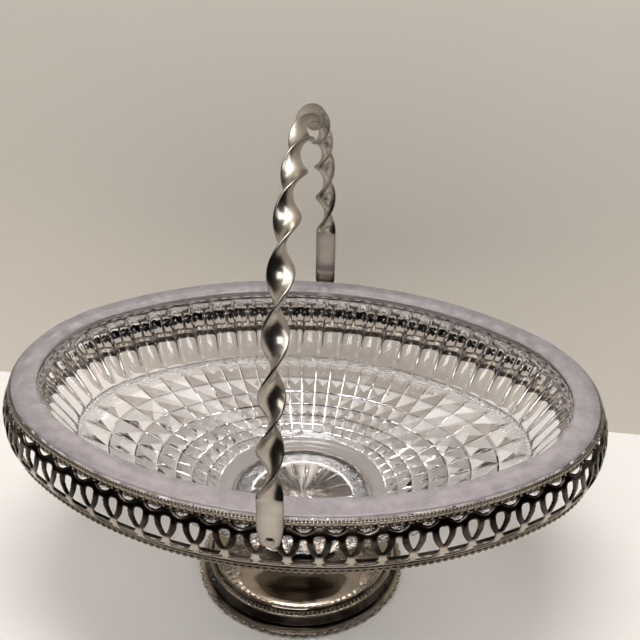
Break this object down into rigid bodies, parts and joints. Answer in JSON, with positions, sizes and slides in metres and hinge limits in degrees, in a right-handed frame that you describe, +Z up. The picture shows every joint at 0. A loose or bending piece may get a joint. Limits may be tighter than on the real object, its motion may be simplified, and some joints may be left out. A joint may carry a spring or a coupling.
{
  "type": "cake basket",
  "caption": "Oval footed cake basket: pressed glass bowl held in a pierced silver-plated gallery, with a twisted strap handle that swings.",
  "frame": {"origin": "middle of the foot, on the table", "axes": "+Z up; X along the oval bowl; the handle's two rivets lie on the Y axis, with the picture's near side at -Y"},
  "size_m": [0.2992, 0.2225, 0.2567],
  "materials": {
    "pressed_glass": "clear pressed glass with a faint violet tint",
    "silver_plate": "old silver plate on brass, polished, darker in the hollows"
  },
  "bodies": {
    "basket": {"glass_bowl": "pressed_glass", "top_rail": "silver_plate", "top_bead_crest": "silver_plate", "top_bead_side": "silver_plate", "gallery_band": "silver_plate", "bottom_rail": "silver_plate", "bottom_bead": "silver_plate", "foot_cup": "silver_plate", "foot_stem": "silver_plate", "foot_step_bead": "silver_plate", "foot_base": "silver_plate", "foot_edge_bead": "silver_plate", "handle_lug_front": "silver_plate", "handle_lug_back": "silver_plate", "rivets": "silver_plate"},
    "handle": {"handle_strap": "silver_plate"}
  },
  "joints": [
    {"name": "handle_swing", "type": "hinge", "parent": "basket", "child": "handle", "pos_m": [0, 0, 0.1149], "axis": [0, 1, 0], "range_deg": [-83, 83]}
  ]
}
